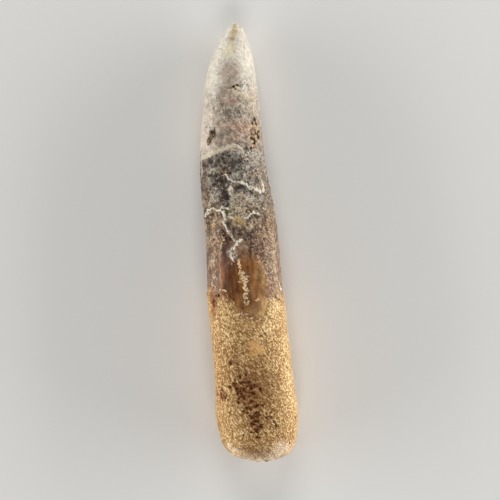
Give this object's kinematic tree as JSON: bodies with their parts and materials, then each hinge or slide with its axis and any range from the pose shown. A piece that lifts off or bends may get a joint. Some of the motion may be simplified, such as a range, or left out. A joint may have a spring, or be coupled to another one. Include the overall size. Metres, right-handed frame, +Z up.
{
  "type": "fossil tooth",
  "caption": "Slender, slightly curved fossil marine reptile tooth with a pointed enamel crown and a thick broken root, lying on its side.",
  "frame": {"origin": "on the surface that the tooth lies on, under the centre of its bounding box", "axes": "+Y from the broken root to the tip, +Z up from the surface, +X to the right of the side that the picture shows"},
  "size_m": [0.014, 0.0739, 0.01],
  "materials": {
    "fossil": "fossil enamel and bone, glossy banded crown and matt tan root"
  },
  "bodies": {
    "root": {"tooth": "fossil"}
  },
  "joints": []
}
